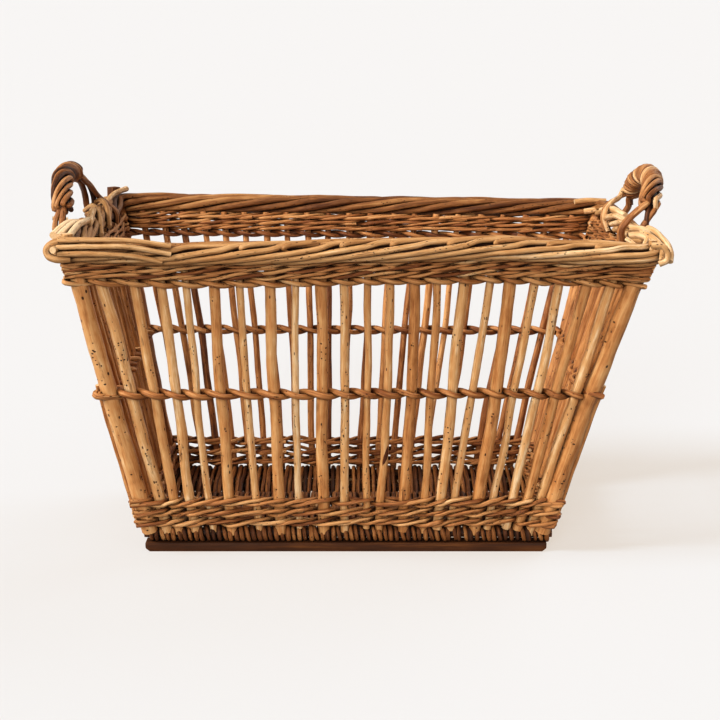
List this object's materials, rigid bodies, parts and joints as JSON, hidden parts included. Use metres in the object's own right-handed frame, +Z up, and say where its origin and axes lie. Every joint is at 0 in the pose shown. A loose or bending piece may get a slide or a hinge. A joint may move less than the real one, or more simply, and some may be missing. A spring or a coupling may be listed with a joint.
{
  "type": "log basket",
  "caption": "Rectangular open wicker basket with flared stake sides, woven bands, a rod border, two bow handles and wooden runners.",
  "frame": {"origin": "under the middle of the rim, at the underside of the runners", "axes": "+Z up, +X along the length towards the right end, +Y towards the rear"},
  "size_m": [0.726, 0.4524, 0.4488],
  "materials": {
    "stake": "peeled willow rods, satin, golden brown with dark knots",
    "weave": "thin willow weavers, satin, brown",
    "border": "willow border rods, satin, olive tan with pale cut ends",
    "base_stick": "willow sticks, matt",
    "handle": "twisted willow rods, satin, dark brown",
    "runner": "sawn wood strip, dark brown, matt"
  },
  "bodies": {
    "root": {"base_stick_1": "base_stick", "base_stick_2": "base_stick", "base_stick_3": "base_stick", "base_stick_front": "base_stick", "base_stick_rear": "base_stick", "base_weave": "weave", "corner_post_front_left": "stake", "corner_post_front_right": "stake", "corner_post_rear_left": "stake", "corner_post_rear_right": "stake", "front_mid_fitch": "weave", "front_rim_border": "border", "front_runner": "runner", "front_stake_01": "stake", "front_stake_02": "stake", "front_stake_03": "stake", "front_stake_04": "stake", "front_stake_05": "stake", "front_stake_06": "stake", "front_stake_07": "stake", "front_stake_08": "stake", "front_stake_09": "stake", "front_stake_10": "stake", "front_stake_11": "stake", "front_stake_12": "stake", "front_stake_13": "stake", "front_stake_14": "stake", "front_stake_15": "stake", "front_stake_16": "stake", "front_stake_17": "stake", "front_stake_18": "stake", "front_stake_19": "stake", "front_stake_20": "stake", "front_stake_21": "stake", "front_top_wale": "weave", "front_upper_fitch": "weave", "front_upsett_wale": "weave", "left_handle_bow": "handle", "left_handle_wrap": "handle", "left_rim_border": "border", "left_stakes": "stake", "left_top_wale": "weave", "left_upper_fitch": "weave", "left_upsett_wale": "weave", "rear_rim_border": "border", "rear_runner": "runner", "rear_stakes": "stake", "rear_top_wale": "weave", "rear_upper_fitch": "weave", "rear_upsett_wale": "weave", "right_handle_bow": "handle", "right_handle_wrap": "handle", "right_rim_border": "border", "right_stakes": "stake", "right_top_wale": "weave", "right_upper_fitch": "weave", "right_upsett_wale": "weave"}
  },
  "joints": []
}
